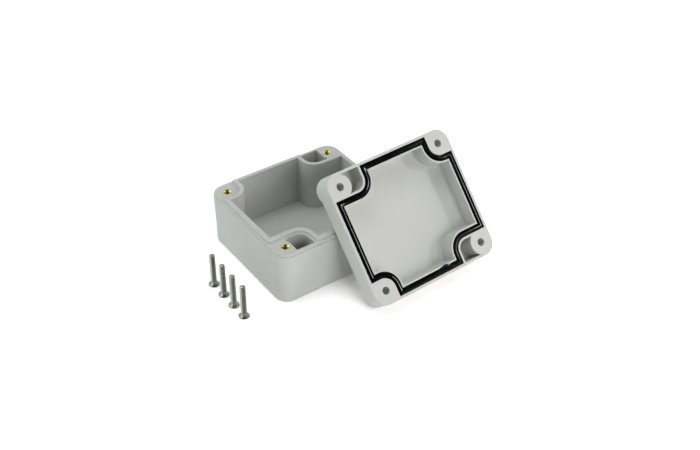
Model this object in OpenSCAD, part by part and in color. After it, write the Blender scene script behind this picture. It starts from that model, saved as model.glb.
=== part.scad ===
// A small sealed project box in two halves, opened for fitting out.
// The base stands on the floor, the lid leans on one of its long sides with its inside
// showing, and the four lid screws stand on their heads in a row beside the base.
// X runs along the box, Y across it and Z up. The origin is the middle of the underside.

/* [Box] */
// Length of the box along X
box_l = 64; // [60:0.5:110]
// Width of the box along Y
box_w = 58; // [50:0.5:100]
// Radius of the upright corners; each screw stands at the centre of one
corner_r = 6; // [5.8:0.1:7]
// Height of the base from its underside to the screw bosses
base_h = 24.9; // [21:0.1:60]
// Height of the lid from its rim to its outer face
lid_h = 10.1; // [8:0.1:12]
// Thickness of the base's floor
base_floor = 2.4; // [1.6:0.1:3.5]
// Thickness of the lid's flat top
lid_floor = 1.8; // [1.4:0.1:2.6]
// How much each side of the base leans in towards the underside
base_draft = 0.35; // [0.1:0.05:0.6]
// Rounding of the base's bottom edge
bottom_round = 0.5; // [0.3:0.1:1]

/* [Rim of the base] */
// How far the outer ledge lies below the shoulder
ledge_drop = 1.1; // [0.8:0.1:1.8]
// Width of the outer ledge
ledge_w = 0.4; // [0.3:0.05:0.7]
// Height of the sealing tongue above the shoulder
tongue_h = 1.3; // [0.6:0.1:1.6]
// Thickness of the tongue, which is also the wall beside the cavity
tongue_w = 1.9; // [1.6:0.1:2.3]
// Rounding along the outer top edge of the tongue
tongue_round = 0.3; // [0.1:0.1:0.6]

/* [Rim of the lid] */
// Thickness of the lid's outer wall beside the sealing groove
rim_w = 1.2; // [1:0.05:1.8]
// Width of the sealing groove
groove_w = 2.75; // [2.6:0.05:3.2]
// Depth of the sealing groove
groove_d = 2.2; // [1.8:0.1:3]
// Thickness of the thin ridge inside the groove
ridge_w = 0.65; // [0.5:0.05:1]
// Rounding of the lid's outer face along its four straight sides
lid_round = 2.4; // [1:0.1:3]
// Rounding of the lid's outer face at the four corner columns
column_round = 0.5; // [0.3:0.1:0.9]
// Fillet where the lid's floor meets its inner walls
lid_fillet = 1; // [0.5:0.1:2]

/* [Corner pillars] */
// Radius of the pillar round each screw, inside the seal
pillar_r = 5.1; // [4.8:0.1:5.8]
// How far along X the two long pillars reach past the screw, which is where a wall screw goes
well_x = 7; // [6:0.1:9]
// Wall between a well or pocket and the seal
well_wall = 0.9; // [0.7:0.05:1.2]
// Wall between a well and the outside of the base
well_side = 1.65; // [1:0.05:2]
// Wall between a well and the brass insert beside it
boss_wall = 0.95; // [0.6:0.05:1.2]
// Radius of the round boss beside each pocket of the lid
boss_r = 5.25; // [4.9:0.05:5.6]
// Diameter of the wall screw hole in the floor of each well
wall_hole_d = 4.2; // [3.2:0.1:5]

/* [Inserts] */
// Outer diameter of a brass insert
insert_d = 4; // [3.6:0.1:4.4]
// Length of a brass insert
insert_len = 5; // [4:0.5:8]
// Diameter of the mouth of the insert's countersink
insert_mouth = 3.2; // [2.8:0.1:3.4]
// Width of the slit across an insert
slit_w = 0.4; // [0.2:0.05:0.6]

/* [Screws] */
// Diameter of a lid screw's thread
screw_d = 2.5; // [2:0.1:2.6]
// Length of a lid screw from head face to tip
screw_len = 16; // [13:0.5:18]
// Diameter of a lid screw's countersunk head
head_d = 4.7; // [4.2:0.1:5]
// Height of the head's upright edge
head_edge = 0.3; // [0.2:0.05:0.5]
// Diameter of the screw holes through the lid
lid_hole_d = 3.4; // [2.9:0.1:3.6]

/* [Arrangement] */
// Angle between the leaning lid and the floor
lid_lean = 48.3; // [40:0.1:60]
// How far the leaning lid is turned about the upright
lid_turn = 2.35; // [0:0.05:5]
// Where the middle of the leaning lid is along X
lid_x = 26.5; // [20:0.5:34]
// Distance of the row of loose screws from the side of the base
screw_row_gap = 16; // [6:0.5:40]
// Place of the rearmost loose screw along Y
screw_row_y = -0.4; // [-5:0.1:10]
// Distance between neighbouring loose screws
screw_pitch = 8.1; // [6:0.1:14]

/* [Hidden] */
CORNERS = ["front", "right", "back", "left"];
$fn = 64;

PLASTIC = [0.74, 0.75, 0.74];
RUBBER = [0.09, 0.09, 0.1];
BRASS = [0.78, 0.62, 0.3];
STEEL = [0.55, 0.55, 0.53];

// Clearances and small breaks of edges
tongue_clear = 0.2;
insert_clear = 0.02;
gasket_clear = 0.03;
lean_clear = 0.05;
tip_clear = 1;
edge_break = 0.15;
arc_steps = 6;
beyond = 1;

half_l = box_l / 2;
half_w = box_w / 2;
screw_x = half_l - corner_r;
screw_y = half_w - corner_r;

// Levels of the base
ledge_z = base_h - ledge_drop;
tongue_z = base_h + tongue_h;

// The tongue and the lid's groove follow one line; each is given by its distance in from
// the sides and by its radius round the pillars
tongue_in = rim_w + tongue_clear;
tongue_r = pillar_r + tongue_clear;
cavity_in = tongue_in + tongue_w;
cavity_r = tongue_r + tongue_w;
ridge_in = rim_w + groove_w;
ridge_r = pillar_r + groove_w;
lid_cavity_in = ridge_in + ridge_w;
lid_cavity_r = ridge_r + ridge_w;

// Which way each corner lies, in the order of CORNERS; the front and back ones have wells
SIGNS = [[-1, -1], [1, -1], [1, 1], [-1, 1]];
function has_well(i) = i % 2 == 0;

// Lean of the lid: the way its open side faces, the height of its middle, and the reach
// of the base's rim towards it, which the lid's outer face just clears
face = [sin(lid_turn) * sin(lid_lean), -cos(lid_turn) * sin(lid_lean), cos(lid_lean)];
lid_z = column_round + (half_w - column_round) * sin(lid_lean) + (lid_h - column_round) * cos(lid_lean);
function rim_reach(inset, z) = face.x * screw_x - face.y * screw_y
    + (corner_r - inset - edge_break) * norm([face.x, face.y]) + (z - edge_break) * face.z + edge_break;
tongue_reach = face.x * (screw_x - tongue_r) - face.y * (half_w - tongue_in - tongue_round)
    + (tongue_z - tongue_round) * face.z + tongue_round;
reach = max(rim_reach(ledge_w, base_h), rim_reach(0, ledge_z), tongue_reach);
lid_y = (reach + lean_clear + lid_h - lid_x * face.x - lid_z * face.z) / face.y;

// Points along an arc, from angle a to angle b
function arc(x, y, r, a, b) = [for (i = [0:arc_steps])
    [x + r * cos(a + (b - a) * i / arc_steps), y + r * sin(a + (b - a) * i / arc_steps)]];

// A block with upright round corners. The profile is a list of [distance out from the
// screw axes, height], from the bottom up, so it can lean and round over.
module block(profile) {
    up = [for (p = profile) p];
    down = [for (i = [len(profile) - 1:-1:0]) profile[i]];
    rotate([90, 0, 90])
        linear_extrude(2 * screw_x, center = true)
            polygon(concat([for (p = up) [screw_y + p.x, p.y]], [for (p = down) [-screw_y - p.x, p.y]]));
    rotate([90, 0, 0])
        linear_extrude(2 * screw_y, center = true)
            polygon(concat([for (p = up) [screw_x + p.x, p.y]], [for (p = down) [-screw_x - p.x, p.y]]));
    for (s = SIGNS)
        translate([s.x * screw_x, s.y * screw_y])
            rotate_extrude()
                polygon(concat([[0, up[0].y]], up, [[0, down[0].y]]));
}

// Puts its children at corner i, with the corner's outside towards +X and +Y
module at_corner(i) {
    mirror([SIGNS[i].x < 0 ? 1 : 0, 0])
        mirror([0, SIGNS[i].y < 0 ? 1 : 0])
            children();
}

// Outline of one corner pillar of radius r, drawn for the corner at +X and +Y
module pillar(r, long) {
    x = screw_x - (long ? well_x : 0);
    translate([x, screw_y])
        circle(r);
    translate([x - r, screw_y])
        square([box_l, box_w]);
    translate([x, screw_y - r])
        square([box_l, box_w]);
}

// Everything inside a line that keeps a distance from the sides and rounds the pillars
module inside(inset, r) {
    difference() {
        square([box_l - 2 * inset, box_w - 2 * inset], center = true);
        for (i = [0:3])
            at_corner(i)
                pillar(r, has_well(i));
    }
}

// A strip along X from the origin whose section is given in Y and Z
module run(length) {
    rotate([90, 0, 90])
        linear_extrude(length)
            children();
}

// Sweeps a section along the line that inside() draws. The section's own Y, or its
// distance from the pillar, is measured into the area.
module sweep_inside(inset, r) {
    translate([-half_l, inset - half_w])
        run(box_l) children();
    mirror([0, 1])
        translate([-half_l, inset - half_w])
            run(box_l) children();
    for (side = [-1, 1])
        mirror([side < 0 ? 1 : 0, 0])
            translate([half_l - inset, -half_w])
                rotate(90)
                    run(box_w) children();
    for (i = [0:3])
        at_corner(i)
            translate([screw_x - (has_well(i) ? well_x : 0), screw_y]) {
                translate([-r, 0])
                    rotate(90)
                        run(corner_r) children();
                mirror([0, 1])
                    translate([0, r])
                        run(corner_r + (has_well(i) ? well_x : 0)) children();
                rotate(180)
                    rotate_extrude(angle = 90)
                        translate([r, 0])
                            children();
            }
}

// Section of the waste outside a rounded top edge, with the edge at the origin
module edge_waste(r) {
    polygon(concat([[-beyond, beyond], [-beyond, -r]], arc(r, -r, r, 180, 90), [[r, beyond]]));
}

// Section of the fillet in a corner, with the corner at the origin
module fillet_section(r) {
    polygon(concat([[-ridge_w / 2, -ridge_w / 2], [-ridge_w / 2, r]], arc(r, r, r, 180, 270),
        [[r, -ridge_w / 2]]));
}

// Outline of a well, in the corner at +X and +Y: the long pillar less its walls
module well_outline() {
    boss_side = screw_x - insert_d / 2 - boss_wall;
    corner = 1.2;
    difference() {
        intersection() {
            pillar(tongue_r - well_wall, true);
            square([boss_side, half_w - well_side]);
        }
        // The end of the boss is rounded beside the seal
        translate([boss_side - corner, screw_y - tongue_r + well_wall])
            difference() {
                square(corner);
                translate([0, corner])
                    circle(corner);
            }
    }
    // A small notch between the boss and the seal
    translate([boss_side, screw_y - tongue_r + well_wall + corner])
        circle(corner / 2);
}

// Outline of a pocket of the lid: the long pillar less its walls and the round boss
module pocket_outline() {
    difference() {
        intersection() {
            pillar(pillar_r - well_wall, true);
            square([screw_x, half_w - rim_w]);
        }
        translate([screw_x, screw_y])
            circle(boss_r);
    }
}

module base_outside() {
    low_r = corner_r - base_draft;
    block(concat(arc(low_r - bottom_round, bottom_round, bottom_round, -90, 0),
        arc(corner_r - edge_break, ledge_z - edge_break, edge_break, 0, 90)));
    block(concat([[corner_r - ledge_w, ledge_z - beyond]],
        arc(corner_r - ledge_w - edge_break, base_h - edge_break, edge_break, 0, 90)));
    translate([0, 0, base_h - beyond])
        linear_extrude(tongue_h + beyond)
            inside(tongue_in, tongue_r);
}

module base() {
    insert_z = base_h - insert_len;
    core_z = base_h + lid_h - screw_len - tip_clear;
    color(PLASTIC)
        difference() {
            base_outside();
            translate([0, 0, base_floor])
                linear_extrude(base_h + tongue_h)
                    inside(cavity_in, cavity_r);
            translate([0, 0, tongue_z])
                sweep_inside(tongue_in, tongue_r)
                    edge_waste(tongue_round);
            for (i = [0:3])
                translate([SIGNS[i].x * screw_x, SIGNS[i].y * screw_y]) {
                    translate([0, 0, insert_z])
                        cylinder(h = insert_len + beyond, d = insert_d + insert_clear);
                    translate([0, 0, core_z])
                        cylinder(h = base_h - core_z, d = screw_d + insert_clear);
                }
            for (i = [0, 2])
                at_corner(i) {
                    translate([0, 0, base_floor])
                        linear_extrude(base_h)
                            well_outline();
                    translate([screw_x - well_x, screw_y, -beyond])
                        cylinder(h = base_floor + 2 * beyond, d = wall_hole_d);
                }
        }
}

// The lid lies in the frame of its own open face: its rim at height 0, its top below
module lid_outside() {
    block(concat(arc(corner_r - lid_round, lid_round - lid_h, lid_round, -90, 0),
        arc(corner_r - edge_break, -edge_break, edge_break, 0, 90)));
    for (s = SIGNS)
        translate([s.x * screw_x, s.y * screw_y])
            rotate_extrude()
                polygon(concat([[0, -lid_h]],
                    arc(corner_r - column_round, column_round - lid_h, column_round, -90, 0),
                    [[corner_r, -edge_break - beyond], [0, -edge_break - beyond]]));
}

module lid_shape() {
    seat_d = head_d + 2 * head_edge;
    difference() {
        lid_outside();
        translate([0, 0, -groove_d])
            linear_extrude(groove_d + beyond)
                difference() {
                    inside(rim_w, pillar_r);
                    inside(ridge_in, ridge_r);
                }
        difference() {
            translate([0, 0, lid_floor - lid_h])
                linear_extrude(lid_h)
                    inside(lid_cavity_in, lid_cavity_r);
            translate([0, 0, lid_floor - lid_h])
                sweep_inside(lid_cavity_in, lid_cavity_r)
                    fillet_section(lid_fillet);
        }
        for (i = [0, 2])
            at_corner(i)
                translate([0, 0, lid_floor - lid_h])
                    linear_extrude(lid_h)
                        pocket_outline();
        for (s = SIGNS)
            translate([s.x * screw_x, s.y * screw_y, -lid_h]) {
                translate([0, 0, -beyond])
                    cylinder(h = lid_h + 2 * beyond, d = lid_hole_d);
                translate([0, 0, -head_edge])
                    cylinder(h = seat_d / 2, d1 = seat_d, d2 = 0);
            }
    }
}

// Turns a lid part open side out and leans it on the base's long side, resting on the
// floor. Turned over, the lid is handed the other way from the base, so it is mirrored.
module leaning() {
    translate([lid_x, lid_y, lid_z])
        rotate([lid_lean, 0, lid_turn])
            mirror([0, 1])
                children();
}

module lid() {
    color(PLASTIC)
        leaning()
            lid_shape();
}

module gasket() {
    color(RUBBER)
        leaning()
            translate([0, 0, -groove_d])
                linear_extrude(groove_d)
                    difference() {
                        inside(rim_w + gasket_clear, pillar_r + gasket_clear);
                        inside(ridge_in - gasket_clear, ridge_r - gasket_clear);
                    }
}

// A split brass insert, pressed into the base beside corner i
module insert(i) {
    slit_turn = 55;
    mouth_depth = (insert_mouth - screw_d) / 2;
    color(BRASS)
        translate([SIGNS[i].x * screw_x, SIGNS[i].y * screw_y, base_h - insert_len])
            difference() {
                cylinder(h = insert_len, d = insert_d);
                translate([0, 0, -beyond])
                    cylinder(h = insert_len + 2 * beyond, d = screw_d);
                translate([0, 0, insert_len - mouth_depth])
                    cylinder(h = mouth_depth, d1 = screw_d, d2 = insert_mouth);
                rotate(slit_turn)
                    translate([-insert_d, -slit_w / 2, insert_len / 2])
                        cube([2 * insert_d, slit_w, insert_len]);
            }
}

// One countersunk lid screw, standing on its head
module lid_screw() {
    head_cone = (head_d - screw_d) / 2;
    tip = 0.5;
    drive_l = 2.4;
    drive_w = 0.6;
    drive_d = 1.1;
    difference() {
        rotate_extrude()
            polygon(concat([[0, 0], [head_d / 2, 0], [head_d / 2, head_edge],
                [screw_d / 2, head_edge + head_cone]],
                arc(screw_d / 2 - tip, screw_len - tip, tip, 0, 90), [[0, screw_len]]));
        for (turn = [0, 90])
            rotate(turn)
                translate([-drive_l / 2, -drive_w / 2, -beyond])
                    cube([drive_l, drive_w, drive_d + beyond]);
    }
}

module lid_screws() {
    color(STEEL)
        for (i = [0:3])
            translate([-half_l - screw_row_gap, screw_row_y - i * screw_pitch])
                lid_screw();
}

base();
lid();
gasket();
for (i = [0:3])
    insert(i);
lid_screws();
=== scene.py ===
# %% [markdown]
# # A small sealed project box, opened
# The box is moulded in two halves of light grey plastic. The base lies flat with four brass
# inserts in its corners, the lid leans on it with its black gasket showing, and the four
# lid screws stand on their heads beside it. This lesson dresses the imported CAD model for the
# photograph: a camera that matches the picture, soft studio light, a finish for every
# material, and finer versions of the gasket, the screws and the threads of the inserts.
#
# All lengths are in metres in the CAD model's own frame: X along the box, Y across it, Z up,
# with the origin in the middle of the base's underside.

import math

import bpy
import numpy as np
from mathutils import Matrix, Vector


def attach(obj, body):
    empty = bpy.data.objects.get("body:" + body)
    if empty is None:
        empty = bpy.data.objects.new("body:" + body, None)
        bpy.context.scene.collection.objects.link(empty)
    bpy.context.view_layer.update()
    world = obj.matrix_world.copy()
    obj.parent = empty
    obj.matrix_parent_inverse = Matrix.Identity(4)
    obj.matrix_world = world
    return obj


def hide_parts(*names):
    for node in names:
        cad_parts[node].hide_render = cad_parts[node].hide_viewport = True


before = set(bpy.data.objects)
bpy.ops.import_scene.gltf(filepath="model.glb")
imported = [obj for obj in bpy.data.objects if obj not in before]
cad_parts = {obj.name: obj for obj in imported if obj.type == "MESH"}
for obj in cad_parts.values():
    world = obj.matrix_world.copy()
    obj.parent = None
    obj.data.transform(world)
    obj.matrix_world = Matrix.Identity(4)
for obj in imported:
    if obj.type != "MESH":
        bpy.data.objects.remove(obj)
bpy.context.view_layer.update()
print("nodes:", sorted(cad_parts))

MM = 0.001

# %% [markdown]
# ## The camera
# The picture is 700 by 450. A camera can be aimed at the object by hand, with a constraint, or
# placed by numbers. Numbers were chosen, because a fit of the corners of the base and of the
# lid in the photograph gives them, and then every edge of the box falls where the picture
# has it. The three axes are written out, so the small roll of the fit is kept too. The camera
# stands about half a metre away, to the left of the box's front, looking 38 degrees down.

# %% Camera
CAMERA_AT = Vector((-0.22657, -0.35085, 0.33518))
AZIMUTH, ELEVATION, ROLL = (math.radians(angle) for angle in (-35.369, 37.934, 0.196))
LENS_MM, SENSOR_MM = 62.464, 36
NEAREST, FARTHEST = 0.05, 20


def direction(azimuth, elevation):
    """The unit vector (sin a cos e, -cos a cos e, sin e): azimuth a is 0 in front (-Y) and a
    quarter turn at +X, and elevation e is the height over the floor. Both are in radians."""
    return Vector((math.sin(azimuth) * math.cos(elevation),
                   -math.cos(azimuth) * math.cos(elevation), math.sin(elevation)))


back = direction(AZIMUTH, ELEVATION)
level = Vector((math.cos(AZIMUTH), math.sin(AZIMUTH), 0))
right = level * math.cos(ROLL) + back.cross(level) * math.sin(ROLL)
up = back.cross(right)

camera_data = bpy.data.cameras.new("camera")
camera_data.lens = LENS_MM
camera_data.sensor_width = SENSOR_MM
camera_data.clip_start, camera_data.clip_end = NEAREST, FARTHEST
camera = bpy.data.objects.new("camera", camera_data)
bpy.context.scene.collection.objects.link(camera)
camera.matrix_world = Matrix((
    (right.x, up.x, back.x, CAMERA_AT.x),
    (right.y, up.y, back.y, CAMERA_AT.y),
    (right.z, up.z, back.z, CAMERA_AT.z),
    (0, 0, 0, 1)))
bpy.context.scene.camera = camera
bpy.context.scene.view_settings.view_transform = "Standard"
print("camera at", [round(v, 4) for v in CAMERA_AT], "looking along", [round(-v, 3) for v in back])

# %% [markdown]
# ## Helpers for nodes
# Every world, floor and finish below is a small tree of nodes. Trees can be joined by hand in
# the shader editor. Here a few helpers build them, so that each finish reads as one short
# list of what goes into what.

# %% Node helpers
# a Mix node has a set of sockets for each kind of value: these are the numbers of its colour ones
COLOR_MIX_FACTOR, COLOR_MIX_FIRST, COLOR_MIX_SECOND, COLOR_MIX_RESULT = 0, 6, 7, 2


def node_adder(owner):
    """Clears the owner's node tree and returns a function that adds a node to it. Its second
    argument gives the node's sockets a value each, or another node's output to link."""
    owner.use_nodes = True
    tree = owner.node_tree
    tree.nodes.clear()

    def add(kind, inputs=None, **settings):
        node = tree.nodes.new(kind)
        for key, value in settings.items():
            setattr(node, key, value)
        for socket, value in (inputs or {}).items():
            if isinstance(value, bpy.types.NodeSocket):
                tree.links.new(value, node.inputs[socket])
            else:
                node.inputs[socket].default_value = value
        return node
    return add


def calc(add, operation, *values):
    """One step of arithmetic on one or two numbers."""
    return add("ShaderNodeMath", dict(enumerate(values)), operation=operation).outputs[0]


def ramp(add, value, start, end, low, high):
    """Goes straight from low at start to high at end, and is level outside them."""
    return add("ShaderNodeMapRange", {"Value": value, "From Min": start, "From Max": end,
                                      "To Min": low, "To Max": high}).outputs[0]


def mix_colors(add, factor, first, second):
    """The first colour where the factor is 0, the second where it is 1."""
    mix = add("ShaderNodeMix", {COLOR_MIX_FACTOR: factor, COLOR_MIX_FIRST: (*first, 1),
                                COLOR_MIX_SECOND: (*second, 1)}, data_type="RGBA")
    return mix.outputs[COLOR_MIX_RESULT]


def object_coordinates(add):
    """The point's place in the box's frame, in metres."""
    return add("ShaderNodeTexCoord").outputs["Object"]


def page_rays(add, mirrored=1.0):
    """1 for the rays that see the white page from the camera, `mirrored` for those that the
    object reflects or refracts, 0 for the rays that only carry light."""
    path = add("ShaderNodeLightPath").outputs
    both = calc(add, "MAXIMUM", path["Is Glossy Ray"], path["Is Transmission Ray"])
    return calc(add, "MAXIMUM", path["Is Camera Ray"], calc(add, "MULTIPLY", both, mirrored))


# %% [markdown]
# ## The white backdrop
# The photograph is a cut-out on white, taken in soft, even studio light. A dome of light
# would give a white page in one step, but it would also light every wall alike, and the box
# would look flat. So the world lights nothing. Only the rays that look or mirror see it:
# white at the horizon and behind the box, and nearly dark overhead and in front, so that the
# shiny parts show a white page with a dark studio round it.

# %% World
BACKDROP = (0.8, 0.8, 0.8, 1)
# the rise of a ray, and its way towards the back, between which its strength changes
UPWARDS, BACKWARDS = (0.02, 0.26), (0.1, 0.5)
HORIZON, OVERHEAD, IN_FRONT, BEHIND = 1.0, 0.03, 0.0, 0.9

world = bpy.data.worlds.new("studio")
bpy.context.scene.world = world
add = node_adder(world)
toward = add("ShaderNodeSeparateXYZ", {0: add("ShaderNodeTexCoord").outputs["Generated"]}).outputs
by_height = ramp(add, toward["Z"], *UPWARDS, HORIZON, OVERHEAD)
by_side = ramp(add, toward["Y"], *BACKWARDS, IN_FRONT, BEHIND)
strength = calc(add, "MULTIPLY", page_rays(add), calc(add, "MAXIMUM", by_height, by_side))
backdrop = add("ShaderNodeBackground", {"Color": BACKDROP, "Strength": strength})
add("ShaderNodeOutputWorld", {0: backdrop.outputs[0]})
print("world:", len(world.node_tree.nodes), "nodes")

# %% [markdown]
# ## The lamps
# The lid's open face is a little brighter in the picture than the base's front, and each
# wall has its own grey. One big lamp could not do that, and a ring of hard ones would throw
# shadows that the picture lacks. So the lamps are large and soft, each from one side, and
# their powers were weighed until every wall had the grey that it has in the picture. They are
# tinted a little, because those greys are: some lean to green and some to pink. One of them,
# the key, is small: it draws the thin bright line along the gasket's crown.

# %% Lamps
AIM = Vector((0, -0.01, 0.01))
LAMP_DISTANCE = 1.2

# name: azimuth and elevation in degrees, width and height in metres, watts, colour
LAMPS = {
    "low left": (-90, 8, (0.5, 0.5), 2.8, (1, 0.97, 0.985)),
    "left": (-112, 44, (0.35, 0.35), 0.6, (1, 1, 0.97)),
    "low front right": (30, 9, (2.0, 0.4), 3.3, (1, 0.87, 0.9)),
    "front": (0, 25, (0.6, 0.6), 5.0, (1, 0.96, 0.965)),
    "right": (90, 25, (0.6, 0.6), 3.6, (1, 0.82, 0.81)),
    "back left": (-135, 25, (0.6, 0.6), 3.0, (0.86, 1, 0.96)),
    "high back left": (-135, 68, (0.7, 0.7), 2.35, (1, 0.92, 0.98)),
    "high right": (78, 48, (0.35, 0.35), 0.6, (0.96, 1, 0.96)),
    "high back right": (135, 68, (0.7, 0.7), 0.6, (0.93, 1, 0.94)),
    "key": (47.5, 26, (0.19, 0.19), 1.7, (0.97, 0.98, 1)),
    "top": (0, 90, (0.7, 0.7), 3.45, (0.93, 1, 0.98)),
}


def lamp(name, azimuth, elevation, size, power, color):
    """A soft lamp that stands at AIM + direction x LAMP_DISTANCE and faces AIM."""
    out = direction(math.radians(azimuth), math.radians(elevation))
    data = bpy.data.lights.new(name, "AREA")
    data.shape = "RECTANGLE"
    data.size, data.size_y = size
    data.energy, data.color = power, color
    placed = bpy.data.objects.new(name, data)
    placed.location = AIM + out * LAMP_DISTANCE
    placed.rotation_euler = out.to_track_quat("Z", "Y").to_euler()
    # the lamps named front only fill, so that the black gasket mirrors the key and not them
    placed.visible_glossy = "front" not in name
    bpy.context.scene.collection.objects.link(placed)


for name, values in LAMPS.items():
    lamp(name, *values)

# %% [markdown]
# ## The floor
# The floor is a matt white board. A shadow catcher would need a white picture put behind it
# afterwards, so the board itself is made to read as the page: it is brighter to the camera
# than to the rays that carry light, and it still keeps the soft shadow that holds the box to
# the ground. Beyond the reach of the lamps it glows white to the camera, which matters in low
# views. A wide white table also throws light up at the box from all round, and a small glow
# for diffuse rays alone stands for the part of it that the lamps don't reach.

# %% Floor
FLOOR_HALF = 3
BOARD, BOARD_SEEN = (0.8, 0.8, 0.8), (1.6, 1.6, 1.6)
MIRRORED, TABLE_GLOW = 0.4, 0.23
LIT_TO, WHITE_FROM = 0.25, 0.7

floor_mesh = bpy.data.meshes.new("floor")
floor_mesh.from_pydata([(x * FLOOR_HALF, y * FLOOR_HALF, 0)
                        for x, y in ((-1, -1), (1, -1), (1, 1), (-1, 1))], [], [(0, 1, 2, 3)])
floor = bpy.data.objects.new("floor", floor_mesh)
bpy.context.scene.collection.objects.link(floor)

floor_material = bpy.data.materials.new("white board")
add = node_adder(floor_material)
paper = page_rays(add, MIRRORED)
board = add("ShaderNodeBsdfDiffuse", {"Color": mix_colors(add, paper, BOARD, BOARD_SEEN)})
away = add("ShaderNodeVectorMath", {0: object_coordinates(add)}, operation="LENGTH")
past_lamps = ramp(add, away.outputs["Value"], LIT_TO, WHITE_FROM, low=0.0, high=1.0)
distant = calc(add, "MULTIPLY", past_lamps, paper)
carries_light = add("ShaderNodeLightPath").outputs["Is Diffuse Ray"]
glow = calc(add, "ADD", distant, calc(add, "MULTIPLY", carries_light, TABLE_GLOW))
emission = add("ShaderNodeEmission", {"Strength": glow})
lit = add("ShaderNodeAddShader", {0: board.outputs[0], 1: emission.outputs[0]})
add("ShaderNodeOutputMaterial", {0: lit.outputs[0]})
floor_mesh.materials.append(floor_material)
print("floor:", 2 * FLOOR_HALF, "m wide")

# %% [markdown]
# ## The plastic
# The halves are ABS, moulded in a light, faintly greenish grey with a fine satin surface:
# no gloss, only a soft sheen. The colour drifts a little across a moulding where the melt
# flowed, and the tool's spark-eroded surface gives it a very fine grain. Both could be painted
# or photographed textures. They are noise on object coordinates, so that they need no
# unwrapping and are as large on the real part as here.

# %% Material helpers
NOISE_RANGE = (0.3, 0.7)


def principled(name, color, roughness, **inputs):
    """A material with one Principled shader, as (material, add, shader). Where a pattern is
    linked over the colour or the roughness, the plain value is about its middle."""
    material = bpy.data.materials.new(name)
    add = node_adder(material)
    shader = add("ShaderNodeBsdfPrincipled",
                 {"Base Color": (*color, 1), "Roughness": roughness, **inputs})
    add("ShaderNodeOutputMaterial", {0: shader.outputs[0]})
    return material, add, shader


def link(shader, socket, value):
    """Puts one node's output into a socket of the shader."""
    shader.id_data.links.new(value, shader.inputs[socket])


def noise(add, per_metre, detail=2, vector=None):
    """Noise with that many features per metre, on object coordinates if no vector is given."""
    return add("ShaderNodeTexNoise", {"Vector": vector or object_coordinates(add),
                                      "Scale": per_metre, "Detail": detail}).outputs["Fac"]


def spread(add, value, low, high):
    """Maps a noise value, which stays mostly within NOISE_RANGE, to the range from low to high."""
    return ramp(add, value, *NOISE_RANGE, low, high)


def roughen(add, shader, height, strength, depth):
    """Dents the shader's normals as if the height pattern were `depth` metres deep."""
    bump = add("ShaderNodeBump", {"Height": height, "Strength": strength, "Distance": depth})
    link(shader, "Normal", bump.outputs[0])


def dress(node_name, material):
    """Gives a CAD node that material alone."""
    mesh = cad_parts[node_name].data
    mesh.materials.clear()
    mesh.materials.append(material)
    print(node_name, len(mesh.polygons), "faces")


# %% Plastic
PLASTIC = (0.585, 0.61, 0.577)
FLOW_DARK, FLOW_LIGHT = 0.975, 1.02

plastic, add, shader = principled("box plastic", PLASTIC, 0.42)
flow = spread(add, noise(add, per_metre=45, detail=3), low=0, high=1)
dark, light = ([share * c for c in PLASTIC] for share in (FLOW_DARK, FLOW_LIGHT))
link(shader, "Base Color", mix_colors(add, flow, dark, light))
link(shader, "Roughness", spread(add, noise(add, per_metre=700), low=0.36, high=0.48))
roughen(add, shader, noise(add, per_metre=2600), strength=0.12, depth=0.04 * MM)

dress("base", plastic)
dress("lid", plastic)

# %% [markdown]
# ## Helper for new surfaces
# Each finer piece is one grid of points worked out with numpy, closed where it should be, and
# turned into quads. It could be built from primitives and modifiers too, but a grid says
# exactly where each point is. The points are placed in the box's frame at once, so every
# object stays at the origin.

# %% Grid to mesh
def skin(name, points, material, node, wrap=(False, False), caps=()):
    """An object from a grid of points with shape (rows, columns, 3). Each quad joins the points
    (r, c), (r, c+1), (r+1, c+1) and (r+1, c). wrap closes the rows or the columns on
    themselves; caps names the rows that are closed with one face. A quad looks along
    (along columns) x (along rows)."""
    rows, columns = points.shape[:2]
    index = np.arange(rows * columns).reshape(rows, columns)
    grid = np.pad(index, [(0, int(closed)) for closed in wrap], mode="wrap")
    quads = np.stack([grid[:-1, :-1], grid[:-1, 1:], grid[1:, 1:], grid[1:, :-1]], -1)
    faces = quads.reshape(-1, 4).tolist()
    faces += [index[row, ::-1 if row == 0 else 1].tolist() for row in caps]
    mesh = bpy.data.meshes.new(name)
    mesh.from_pydata(points.reshape(-1, 3).tolist(), [], faces)
    mesh.validate()
    mesh.shade_smooth()
    mesh.materials.append(material)
    piece = bpy.data.objects.new(name, mesh)
    bpy.context.scene.collection.objects.link(piece)
    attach(piece, "root")
    if node:
        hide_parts(node)
    print(name, len(mesh.polygons), "faces")


# %% [markdown]
# ## The gasket
# The gasket is a black rubber band laid in the lid's groove. It runs along the four sides
# and steps inside the corner pillars, so it has a sharp corner at each end of a side and a
# round one at each pillar. Its crown is a rounded ridge that stands 0.15 mm proud of the rim,
# which is what the base's tongue presses on, and it slopes down to the groove's walls. One
# point of the moulding has a small flash, which spills over the groove's inner edge.
#
# A curve with a bevel profile could make it, but it would pinch at the sharp corners. Here a
# closed section is swept along the line of the groove instead. The line is written once for
# any distance across the band, so its corners are mitred by themselves.

# %% The groove's line in the lid
HALF_L, HALF_W, CORNER = 32 * MM, 29 * MM, 6 * MM
WELL, PILLAR = 7 * MM, 5.1 * MM
RIM, GROOVE, GROOVE_D = 1.2 * MM, 2.75 * MM, 2.2 * MM
ARC_POINTS = 15


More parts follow.
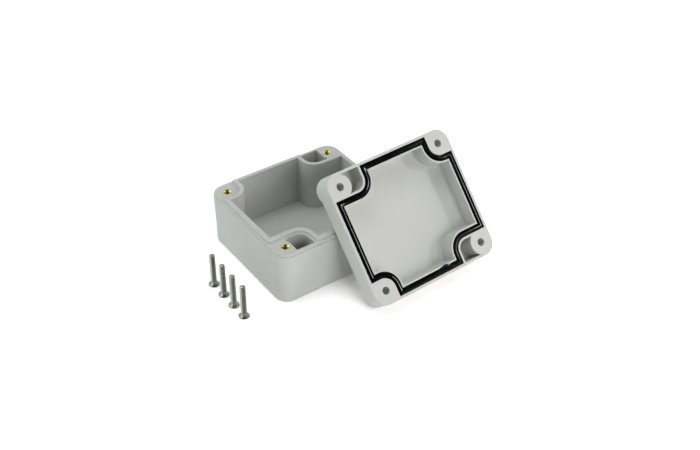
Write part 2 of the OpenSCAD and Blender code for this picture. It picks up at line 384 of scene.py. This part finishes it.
def groove_line(across):
    """The line's corners and arcs, `across` metres in from the groove's outer edge, as rows of
    (x, y), anticlockwise in the lid's open face. A pillar's arc is its middle less its radius
    times (cos t, sin t), for t from 0 to a quarter turn."""
    side, radius = RIM + across, PILLAR + across
    quarter = np.linspace(0, math.pi / 2, ARC_POINTS)
    corners = []
    for sx, sy, well in ((1, -1, WELL), (1, 1, 0), (-1, 1, WELL), (-1, -1, 0)):
        x0, y0 = HALF_L - CORNER - well, HALF_W - CORNER
        arc = np.stack([x0 - radius * np.cos(quarter), y0 - radius * np.sin(quarter)], -1)
        ends = [(x0 - radius, HALF_W - side)], [(HALF_L - side, y0 - radius)]
        corner = np.concatenate([ends[0], arc, ends[1]]) * (sx, sy)
        corners.append(corner[::-sx * sy])
    return np.concatenate(corners)


# %% The band's section, swept
SEAM = 0.03 * MM
CROWN_POINTS, CROWN_PROUD = 22, 0.15 * MM
RIDGE_ROUND, RIDGE_FALL = 0.35 * MM, 0.0875 * MM
LONG_EDGE, LONG_EDGE_STEPS = 12 * MM, 60

# crown: height = proud - fall x (hypot(1, distance from the middle / round) - 1)
across = SEAM + np.linspace(0, 1, CROWN_POINTS) * (GROOVE - 2 * SEAM)
crown = CROWN_PROUD - RIDGE_FALL * (np.hypot(1, (across - GROOVE / 2) / RIDGE_ROUND) - 1)
section_across = np.concatenate([across, [GROOVE - SEAM, SEAM]])
section_height = np.concatenate([crown, [-GROOVE_D, -GROOVE_D]])

# the line for each point of the section, with its long edges cut into steps
lines = np.array([groove_line(a) for a in section_across])
edges = np.roll(lines, -1, 1) - lines
long_edges = np.linalg.norm(edges[0], axis=1) > LONG_EDGE
steps = np.where(long_edges, LONG_EDGE_STEPS, 1)
start = np.repeat(np.arange(len(steps)), steps)
part = np.concatenate([np.arange(n) / n for n in steps])
band_xy = (lines[:, start] + edges[:, start] * part[:, None]).transpose(1, 0, 2)
print("gasket: section of", len(section_across), "points along", len(band_xy), "stations")

# %% The flash on its inner edge
FLASH_AT, FLASH_BEFORE, FLASH_AFTER = 4.8 * MM, 2.4 * MM, 1.6 * MM
FLASH_REACH, FLASH_HEIGHT = 0.72 * MM, 0.03 * MM
FLASH_RISE = 6
LOWER_RUN = -20 * MM
INNER_FROM = 0.72

# spill: a bell along the lower run, exp(-(distance / width)^2), wider on its left side, which
# grows from nothing at INNER_FROM of the way across the crown to full at the inner edge. The
# flash has its full height wherever the spill is over 1 / FLASH_RISE
inner = np.clip((section_across / GROOVE - INNER_FROM) / (1 - INNER_FROM), 0, 1)
inner[CROWN_POINTS:] = 0
along = band_xy[..., 0] - FLASH_AT
bell = np.exp(-(along / np.where(along < 0, FLASH_BEFORE, FLASH_AFTER)) ** 2)
spill = bell * (band_xy[..., 1] < LOWER_RUN) * inner
band_xy[..., 1] += FLASH_REACH * spill
height = section_height + (FLASH_HEIGHT - section_height) * np.clip(FLASH_RISE * spill, 0, 1)
print("flash reaches", round(1000 * FLASH_REACH * spill.max(), 2), "mm over the inner edge")

# %% [markdown]
# ## The rubber, and the band in its place
# The lid leans, so the band is worked out flat in the lid's open face and then placed by the
# lid's origin and its three axes: u along the lid, v across it and w out of its open face. The
# rubber is nearly black and smooth enough to mirror a lamp as a thin line. A fine unevenness
# of the surface breaks that line up a little, as it does on real rubber.

# %% Rubber gasket
LID_AT = np.array([26.5, -39.195, 28.165]) * MM
LEAN, TURN = math.radians(48.3), math.radians(2.35)
lid_u = np.array([math.cos(TURN), math.sin(TURN), 0])
lid_w = np.array([math.sin(TURN) * math.sin(LEAN), -math.cos(TURN) * math.sin(LEAN),
                  math.cos(LEAN)])
lid_v = np.cross(lid_w, lid_u)
gasket_points = (LID_AT + band_xy[..., :1] * lid_u + band_xy[..., 1:] * lid_v
                 + height[..., None] * lid_w)

RUBBER = (0.0015, 0.0015, 0.002)
rubber, add, shader = principled("gasket rubber", RUBBER, 0.09, **{"Specular IOR Level": 0.45})
link(shader, "Roughness", spread(add, noise(add, per_metre=900, detail=3), low=0.07, high=0.13))
roughen(add, shader, noise(add, per_metre=420, detail=3), strength=0.15, depth=0.1 * MM)
skin("gasket_band", gasket_points, rubber, "gasket", wrap=(True, True))

# %% [markdown]
# ## The screws
# Four M2.5 machine screws with countersunk heads stand on their heads. A thread can be made
# with the Screw modifier, which winds a profile up an axis, but its ends need trimming. Here
# a screw is one surface of revolution whose radius also follows the angle: it rises and
# falls with the phase of height over pitch less the angle. So the thread can start above the
# cone of the head and fade in, and the rounded tip can cut it off. The drive is a cross pressed
# into the head's face, which is turned down here.

# %% The cross recess
CROSS_DEEP, CROSS_TAPER = 1.1 * MM, 0.45
WING_HALF, WING_WALL = 0.3 * MM, 0.06 * MM
CROSS_REACH, CROSS_END = 1.2 * MM, 0.12 * MM


def cross_depth(x, y):
    """Depth of the recess at a point of the head's face: two crossed wings, deepest in the
    middle. The floor rises in proportion to the distance along the wing, and the walls rise
    straight over WING_WALL at the sides and over CROSS_END at the ends."""
    wing = np.minimum(np.abs(x), np.abs(y))
    reach = np.maximum(np.abs(x), np.abs(y))
    bottom = CROSS_DEEP * (1 - CROSS_TAPER * reach / CROSS_REACH)
    sides = np.clip((WING_HALF - wing) / WING_WALL, 0, 1)
    ends = np.clip((CROSS_REACH - reach) / CROSS_END, 0, 1)
    return bottom * sides * ends


# %% The screw as a grid of rings
SCREW_X, SCREW_Y, SCREW_SPACING, SCREWS = -48 * MM, -0.4 * MM, 8.1 * MM, 4
SCREW_R, SCREW_L, HEAD_R, HEAD_EDGE = 1.25 * MM, 16 * MM, 2.35 * MM, 0.3 * MM
CONE_TOP = HEAD_EDGE + HEAD_R - SCREW_R
FACE_RINGS = np.concatenate([[0.02], np.linspace(0.08, 1.4, 23), [1.8, 2.15, 2.29, 2.35]]) * MM
RIM_LIFT, HAIR = 0.05 * MM, 0.01 * MM
EDGE_BREAK, EDGE_RISE = 0.04 * MM, 0.03 * MM
CONE_RINGS = np.array([(HEAD_R, HEAD_EDGE - EDGE_BREAK),
                       (HEAD_R - EDGE_BREAK, HEAD_EDGE + EDGE_RISE), (SCREW_R, CONE_TOP)])
TIP_FLAT, TIP_MIDDLE, TIP_ROUND = 0.35 * MM, 0.1 * MM, 0.75 * MM
TIP_RINGS = np.array([(TIP_FLAT, SCREW_L - HAIR), (TIP_MIDDLE, SCREW_L)])
THREAD_PITCH, THREAD_DEPTH, THREAD_FADE = 0.45 * MM, 0.22 * MM, 0.8 * MM
THREAD_FROM, THREAD_TO = CONE_TOP + 0.15 * MM, SCREW_L - 0.02 * MM
RIDGE_PEAK, RIDGE_SLOPE = 1.6, 3.2
COLUMNS, RINGS_PER_TURN = 48, 8
angle = np.arange(COLUMNS) * 2 * math.pi / COLUMNS


def rings(radius, height):
    """Points (r cos t, r sin t, z) with a row for each ring and a column for each angle t."""
    radius, height, t = np.broadcast_arrays(radius, height, angle)
    return np.stack([radius * np.cos(t), radius * np.sin(t), height], -1)


def thread_radius(z):
    """The screw's radius less the thread's depth times (1 - ridge), where the ridge goes
    0, 1, 0 over each turn with a flat top, and never outside the round of the tip."""
    phase = (z / THREAD_PITCH - angle / (2 * math.pi)) % 1
    ridge = np.clip(RIDGE_PEAK - RIDGE_SLOPE * np.abs(phase - 0.5), 0, 1)
    fade = np.clip((z - THREAD_FROM) / THREAD_FADE, 0, 1)
    tip = np.maximum(0, z - (SCREW_L - TIP_ROUND))
    limit = SCREW_R - TIP_ROUND + np.sqrt(np.maximum(0, TIP_ROUND ** 2 - tip ** 2))
    return np.minimum(SCREW_R - THREAD_DEPTH * fade * (1 - ridge), limit)


def screw_points(at):
    """Rings from the middle of the head's face, out, up the cone and the thread to the tip."""
    radius = FACE_RINGS[:, None]
    recess = cross_depth(radius * np.cos(angle), radius * np.sin(angle))
    face = rings(radius, recess + RIM_LIFT * (radius >= HEAD_R - HAIR))
    cone, tip = (rings(pair[:, :1], pair[:, 1:]) for pair in (CONE_RINGS, TIP_RINGS))
    z = np.arange(THREAD_FROM, THREAD_TO, THREAD_PITCH / RINGS_PER_TURN)[:, None]
    return np.concatenate([face, cone, rings(thread_radius(z), z), tip]) + np.array(at)


# %% [markdown]
# ## The steel
# The screws are plain stainless steel, turned and rolled, so they are neither mirrors nor
# grey paint. A metal's colour is the colour of its reflections, so light and dark streaks,
# drawn out along the screw, go into the colour: partly marks of handling, partly a painted
# reflection of the bright and dark streaks that the thread's crests mirror. A finer noise
# varies how sharp the reflections are.

# %% Steel screws
# the streaks run between the dark and the light steel: partly marks, partly painted reflection
STEEL, STEEL_DARK, STEEL_LIGHT = (0.30, 0.285, 0.26), (0.2, 0.2, 0.18), (0.5, 0.5, 0.445)
STREAKS_PER_METRE = (2300, 2300, 30)

steel, add, shader = principled("screw steel", STEEL, 0.3, Metallic=1.0)
link(shader, "Roughness", spread(add, noise(add, per_metre=1500, detail=3), low=0.22, high=0.4))
drawn_out = add("ShaderNodeVectorMath", {0: object_coordinates(add), 1: STREAKS_PER_METRE},
                operation="MULTIPLY").outputs[0]
# streaks along the screw in the colour: partly drawing marks, partly painted reflection streaks
marks_and_painted_reflections = spread(add, noise(add, per_metre=1, vector=drawn_out), low=0, high=1)
link(shader, "Base Color", mix_colors(add, marks_and_painted_reflections, STEEL_DARK, STEEL_LIGHT))
for number in range(SCREWS):
    points = screw_points((SCREW_X, SCREW_Y - number * SCREW_SPACING, 0))
    skin(f"screw_{number + 1}", points[:, ::-1], steel, "lid_screws",
         wrap=(False, True), caps=(0, -1))

# %% [markdown]
# ## The brass
# The inserts are turned brass sleeves with a slit across the upper half, pressed into the
# bosses. The CAD model has the sleeve, its countersunk mouth and the slit, so it is dressed
# as it is. The lathe leaves fine rings round the axis: they are the sine of the distance from
# the nearest insert's axis, and they are far too fine to be worth a mesh.

# %% Brass inserts
INSERT_X, INSERT_Y = 26 * MM, 23 * MM
CUT_PITCH = 0.09 * MM
BRASS = (0.68, 0.63, 0.27)

brass, add, shader = principled("insert brass", BRASS, 0.25, Metallic=1.0)
quarter = add("ShaderNodeVectorMath", {0: object_coordinates(add)}, operation="ABSOLUTE")
spot = add("ShaderNodeSeparateXYZ", {0: quarter.outputs[0]}).outputs
off_axis = [calc(add, "SUBTRACT", spot[way], middle)
            for way, middle in (("X", INSERT_X), ("Y", INSERT_Y))]
squares = [calc(add, "MULTIPLY", way, way) for way in off_axis]
from_axis = calc(add, "SQRT", calc(add, "ADD", *squares))
cuts = calc(add, "SINE", calc(add, "MULTIPLY", from_axis, 2 * math.pi / CUT_PITCH))
roughen(add, shader, cuts, strength=0.3, depth=0.01 * MM)
link(shader, "Roughness", spread(add, noise(add, per_metre=1800), low=0.2, high=0.36))

# %% [markdown]
# ## The threads of the inserts
# Each bore has an M2.5 thread, which shows as fine lines inside the mouth. Cutting it into the
# sleeve would take a Boolean, which is slow and leaves a rough mesh. Instead the thread's
# ridge is added on the wall: a small pointed section wound up the bore, which dies away
# beside the slit and at its two ends.

# %% Insert threads
BOSS_TOP, INSERT_L, INSERT_TURNS, STEPS_PER_TURN = 24.9 * MM, 5 * MM, 9.4, 40
WALL_R, RIDGE_TALL, RIDGE_BOTTOM = 1.252 * MM, 0.2 * MM, 0.3 * MM
SLIT, SLIT_FROM_TURN, SLIT_HALF, SLIT_FADE = math.radians(55), 5.5, 0.2, 0.1
END_FADE = 1.5
# the ridge's section, from below to above: share of its height inward, and rise in metres
SECTION_INWARD = np.array([0, 1, 1, 0])
SECTION_RISE = np.array([-0.2, -0.03, 0.03, 0.2]) * MM


def thread_ridge(x, y):
    """A helix round the axis at (x, y): angle t, height t / turn x pitch, radius the wall's less
    the ridge's height. Rows go along the helix, columns across the ridge's section."""
    t = np.arange(0, INSERT_TURNS * 2 * math.pi, 2 * math.pi / STEPS_PER_TURN)
    gap = np.abs(t % math.pi - SLIT % math.pi)
    off_slit = np.clip((np.minimum(gap, math.pi - gap) - SLIT_HALF) / SLIT_FADE, 0, 1)
    ends = np.clip(t / END_FADE, 0, 1) * np.clip((t[-1] - t) / END_FADE, 0, 1)
    turns = t / (2 * math.pi)
    tall = RIDGE_TALL * np.where(turns > SLIT_FROM_TURN, off_slit, 1) * ends
    z = BOSS_TOP - INSERT_L + RIDGE_BOTTOM + turns * THREAD_PITCH
    r = WALL_R - tall[:, None] * SECTION_INWARD
    return np.stack([x + r * np.cos(t)[:, None], y + r * np.sin(t)[:, None],
                     z[:, None] + SECTION_RISE], -1)


for name, sx, sy in (("front", -1, -1), ("right", 1, -1), ("back", 1, 1), ("left", -1, 1)):
    dress(f"insert_{name}", brass)
    skin(f"thread_{name}", thread_ridge(sx * INSERT_X, sy * INSERT_Y), brass, None,
         wrap=(False, True), caps=(0, -1))
